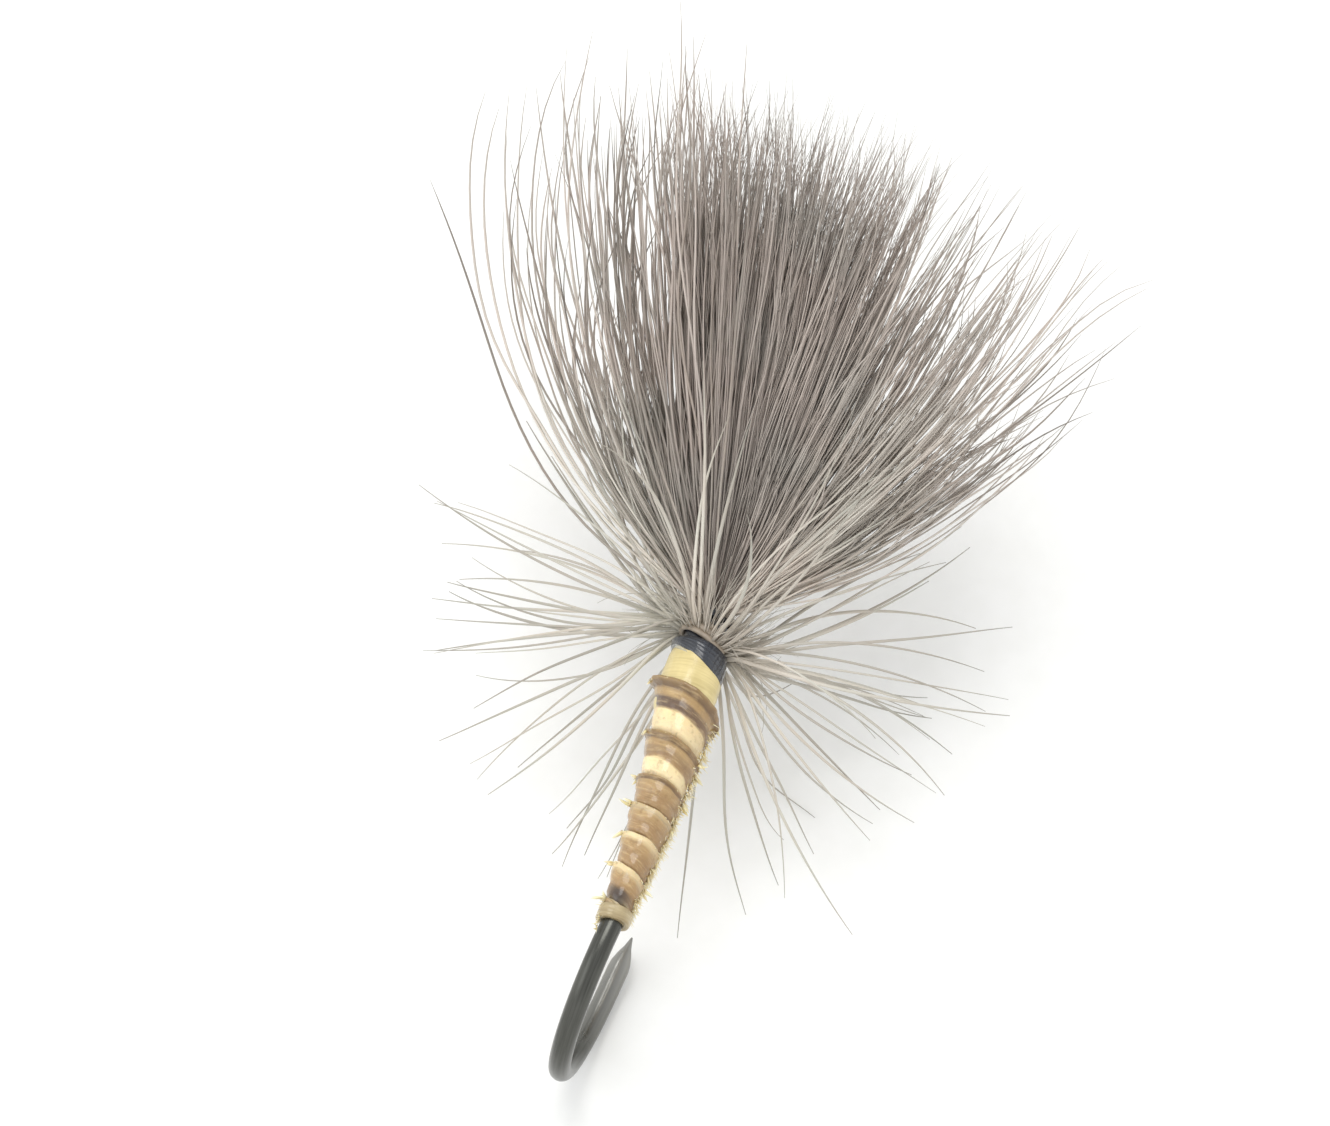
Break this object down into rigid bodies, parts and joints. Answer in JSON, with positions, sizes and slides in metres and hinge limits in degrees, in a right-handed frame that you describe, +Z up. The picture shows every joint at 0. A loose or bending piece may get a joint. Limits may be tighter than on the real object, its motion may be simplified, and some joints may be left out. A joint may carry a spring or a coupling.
{
  "type": "dry fly",
  "caption": "Tied dry fly on a barbless hook: wound quill body, thread band, spread hackle collar and a fan of fine hair swept forward over the eye.",
  "frame": {"origin": "centre of the hole in the hook's eye", "axes": "+X forward along the shank, from the bend to the eye and on along the wing; +Z up, so the bend and point hang at -Z; the bend is turned sideways from the shank by 7 degrees, to +Y"},
  "size_m": [0.0244, 0.0171, 0.0123],
  "materials": {
    "black_nickel_wire": "polished",
    "pale_thread": "satin",
    "yellow_floss": "satin",
    "quill": "gloss",
    "black_thread": "gloss",
    "varnish": "gloss",
    "feather_stem": "satin",
    "hackle_barb": "satin",
    "wing_hair": "satin"
  },
  "bodies": {
    "root": {"hook": "black_nickel_wire", "thread_base": "pale_thread", "floss_underbody": "yellow_floss", "quill_body": "quill", "tail_lashing": "pale_thread", "body_tie_off": "black_thread", "band_varnish": "varnish", "thread_bed": "black_thread", "hackle_stem": "feather_stem", "hackle_butt": "feather_stem", "hackle_top_barbs": "hackle_barb", "hackle_left_barbs": "hackle_barb", "hackle_right_barbs": "hackle_barb", "hackle_foot_barbs": "hackle_barb", "wing_root": "wing_hair", "wing_left_hair": "wing_hair", "wing_centre_hair": "wing_hair", "wing_right_hair": "wing_hair", "wing_guard_hairs": "wing_hair", "wing_butts": "wing_hair", "wing_lashing": "black_thread", "wing_prop_wraps": "black_thread", "head_wraps": "black_thread", "whip_finish": "black_thread", "head_cement": "varnish"}
  },
  "joints": []
}
